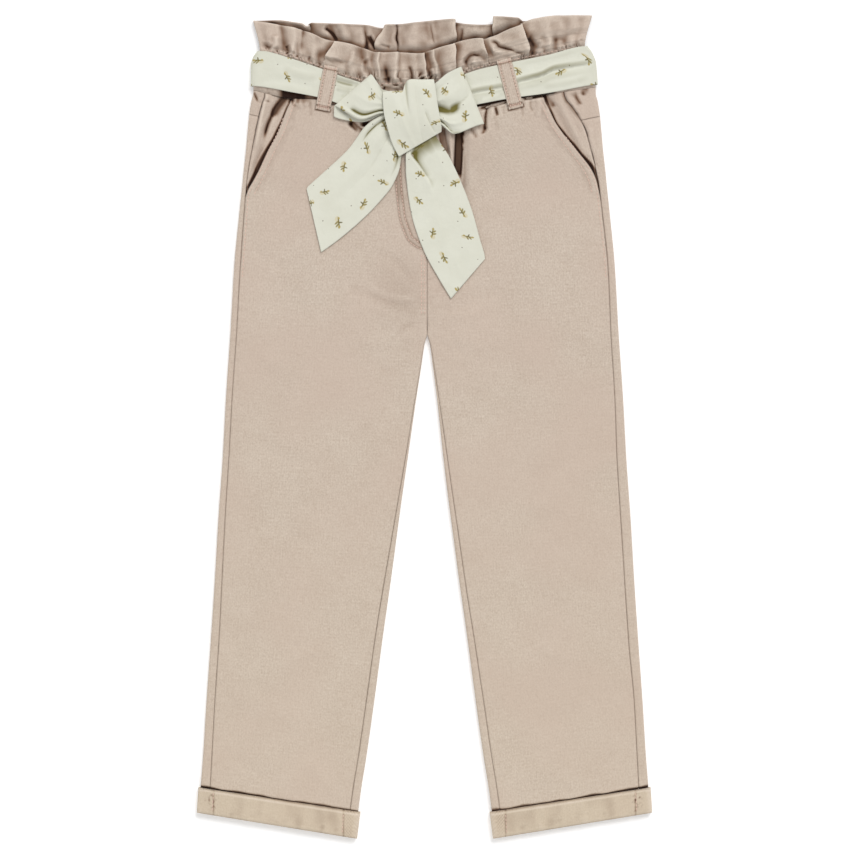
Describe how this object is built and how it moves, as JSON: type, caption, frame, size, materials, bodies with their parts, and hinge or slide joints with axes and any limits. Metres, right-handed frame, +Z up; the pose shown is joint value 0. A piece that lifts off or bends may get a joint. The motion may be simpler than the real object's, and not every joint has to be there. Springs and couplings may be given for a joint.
{
  "type": "paperbag waist trousers",
  "caption": "Child's twill trousers laid flat, with a gathered paperbag waist, slant pockets, turned-up hems and a printed sash tied in a bow.",
  "frame": {"origin": "centre of the bounding box, on the surface that the trousers lie on", "axes": "+Y from the hems to the waist, +X to the wearer's left, +Z up, out of the front of the trousers"},
  "size_m": [0.3638, 0.6579, 0.0164],
  "materials": {
    "twill": "washed cotton twill, dusty pink beige, matt",
    "sash_cotton": "thin cream cotton with a small scattered sprig print, matt"
  },
  "bodies": {
    "root": {"front_leg_R": "twill", "front_leg_L": "twill", "back_leg_R": "twill", "back_leg_L": "twill", "yoke_R": "twill", "yoke_L": "twill", "pocket_facing_R": "twill", "pocket_facing_L": "twill", "cuff_R": "twill", "cuff_L": "twill", "waistband_front": "twill", "waistband_back": "twill", "loop_front_R": "twill", "loop_front_L": "twill", "loop_back_R": "twill", "loop_back_C": "twill", "loop_back_L": "twill", "sash_front_R": "sash_cotton", "sash_front_L": "sash_cotton", "sash_back": "sash_cotton", "bow_loop_R": "sash_cotton", "bow_loop_L": "sash_cotton", "bow_knot": "sash_cotton", "sash_tail_R": "sash_cotton", "sash_tail_L": "sash_cotton"}
  },
  "joints": []
}
